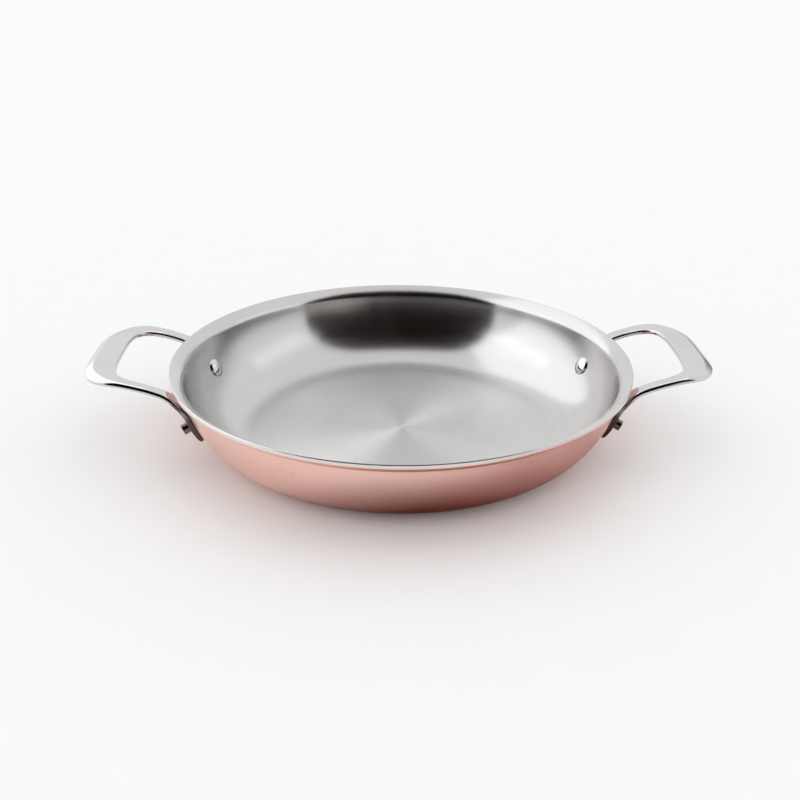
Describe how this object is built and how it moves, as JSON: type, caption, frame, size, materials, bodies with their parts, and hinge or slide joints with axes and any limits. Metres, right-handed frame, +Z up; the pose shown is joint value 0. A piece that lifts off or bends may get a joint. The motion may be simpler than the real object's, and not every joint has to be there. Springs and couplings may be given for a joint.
{
  "type": "saute pan",
  "caption": "Shallow round saute pan of bonded copper, aluminium and steel with a flared lip and riveted loop handles, for frying and braising on a stovetop.",
  "frame": {"origin": "centre of the base, on the surface that the pan stands on", "axes": "+X towards the right handle, -Y towards the viewer of the picture, +Z up out of the pan"},
  "size_m": [0.401, 0.3, 0.0591],
  "materials": {
    "copper": "satin",
    "core": "machined edge",
    "lining": "brushed in circles",
    "handle": "polished stainless steel",
    "rivet": "polished stainless steel"
  },
  "bodies": {
    "root": {"copper_shell": "copper", "aluminium_core": "core", "steel_lining": "lining", "right_handle": "handle", "right_front_rivet": "rivet", "right_back_rivet": "rivet", "left_handle": "handle", "left_front_rivet": "rivet", "left_back_rivet": "rivet"}
  },
  "joints": []
}
